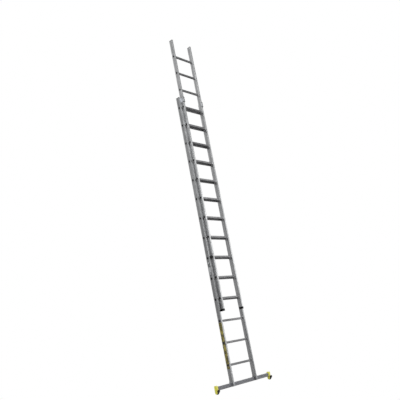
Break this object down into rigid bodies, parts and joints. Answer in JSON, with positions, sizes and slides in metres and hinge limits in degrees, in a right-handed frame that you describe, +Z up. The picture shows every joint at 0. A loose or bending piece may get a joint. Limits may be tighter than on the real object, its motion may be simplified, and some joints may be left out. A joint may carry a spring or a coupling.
{
  "type": "extension ladder",
  "caption": "Two-section push-up extension ladder leaning at its working angle, with a sliding fly section, rung hooks and a stabiliser bar on rubber feet.",
  "frame": {"origin": "on the floor midway between the two feet, below the lower ends of the base stiles", "axes": "+Z up, +X along the rungs to the climber's right, +Y from the climber towards the wall"},
  "size_m": [1.096, 1.2919, 4.923],
  "materials": {
    "stile_aluminium": "ribbed extrusion, mill finish",
    "rung_aluminium": "serrated extrusion, mill finish",
    "collar_aluminium": "swaged, bright",
    "bracket_aluminium": "bent plate, satin",
    "bar_aluminium": "rectangular tube, mill finish",
    "zinc_steel": "zinc plated",
    "black_plastic": "moulded, fine grain",
    "black_nylon": "moulded nylon, satin",
    "yellow_plastic": "moulded, semi gloss",
    "black_rubber": "moulded, ribbed sole",
    "label_yellow": "printed film, laminated",
    "label_grey": "printed film, laminated"
  },
  "bodies": {
    "base_section": {"base_rung_01": "rung_aluminium", "base_rung_02": "rung_aluminium", "base_rung_03": "rung_aluminium", "base_rung_04": "rung_aluminium", "base_rung_05": "rung_aluminium", "base_rung_06": "rung_aluminium", "base_rung_07": "rung_aluminium", "base_rung_08": "rung_aluminium", "base_rung_09": "rung_aluminium", "base_rung_10": "rung_aluminium", "base_rung_11": "rung_aluminium", "base_rung_12": "rung_aluminium", "base_rung_13": "rung_aluminium", "base_rung_14": "rung_aluminium", "base_rung_collars": "collar_aluminium", "base_stile_left": "stile_aluminium", "base_stile_right": "stile_aluminium", "base_top_caps": "black_plastic", "clamp_bolts": "zinc_steel", "clamp_nuts": "zinc_steel", "foot_pad_left": "black_rubber", "foot_pad_right": "black_rubber", "foot_screws": "zinc_steel", "guide_bracket_left": "bracket_aluminium", "guide_bracket_right": "bracket_aluminium", "guide_liners": "black_nylon", "guide_rivets": "zinc_steel", "safety_label": "label_yellow", "stabiliser_bar": "bar_aluminium", "stabiliser_clamp_left": "bracket_aluminium", "stabiliser_clamp_right": "bracket_aluminium", "stabiliser_foot_left": "yellow_plastic", "stabiliser_foot_right": "yellow_plastic", "stile_sticker": "label_grey"},
    "fly_section": {"fly_end_caps": "black_plastic", "fly_rung_01": "rung_aluminium", "fly_rung_02": "rung_aluminium", "fly_rung_03": "rung_aluminium", "fly_rung_04": "rung_aluminium", "fly_rung_05": "rung_aluminium", "fly_rung_06": "rung_aluminium", "fly_rung_07": "rung_aluminium", "fly_rung_08": "rung_aluminium", "fly_rung_09": "rung_aluminium", "fly_rung_10": "rung_aluminium", "fly_rung_11": "rung_aluminium", "fly_rung_12": "rung_aluminium", "fly_rung_13": "rung_aluminium", "fly_rung_14": "rung_aluminium", "fly_rung_collars": "collar_aluminium", "fly_stile_left": "stile_aluminium", "fly_stile_right": "stile_aluminium", "fly_top_caps": "black_plastic", "guide_shoes": "black_nylon", "lock_bushes": "black_nylon", "shoe_rivets": "zinc_steel"},
    "rung_lock": {"lock_caps": "black_plastic", "lock_hook_left": "zinc_steel", "lock_hook_right": "zinc_steel", "lock_shaft": "zinc_steel"}
  },
  "joints": [
    {"name": "fly_slide", "type": "slide", "parent": "base_section", "child": "fly_section", "axis": [0, 0.2504, 0.9681], "range_m": [-0.84, 2.24]},
    {"name": "rung_lock_turn", "type": "hinge", "parent": "fly_section", "child": "rung_lock", "pos_m": [0, 0.37722, 1.66675], "axis": [1, 0, 0], "range_deg": [0, 90]}
  ]
}
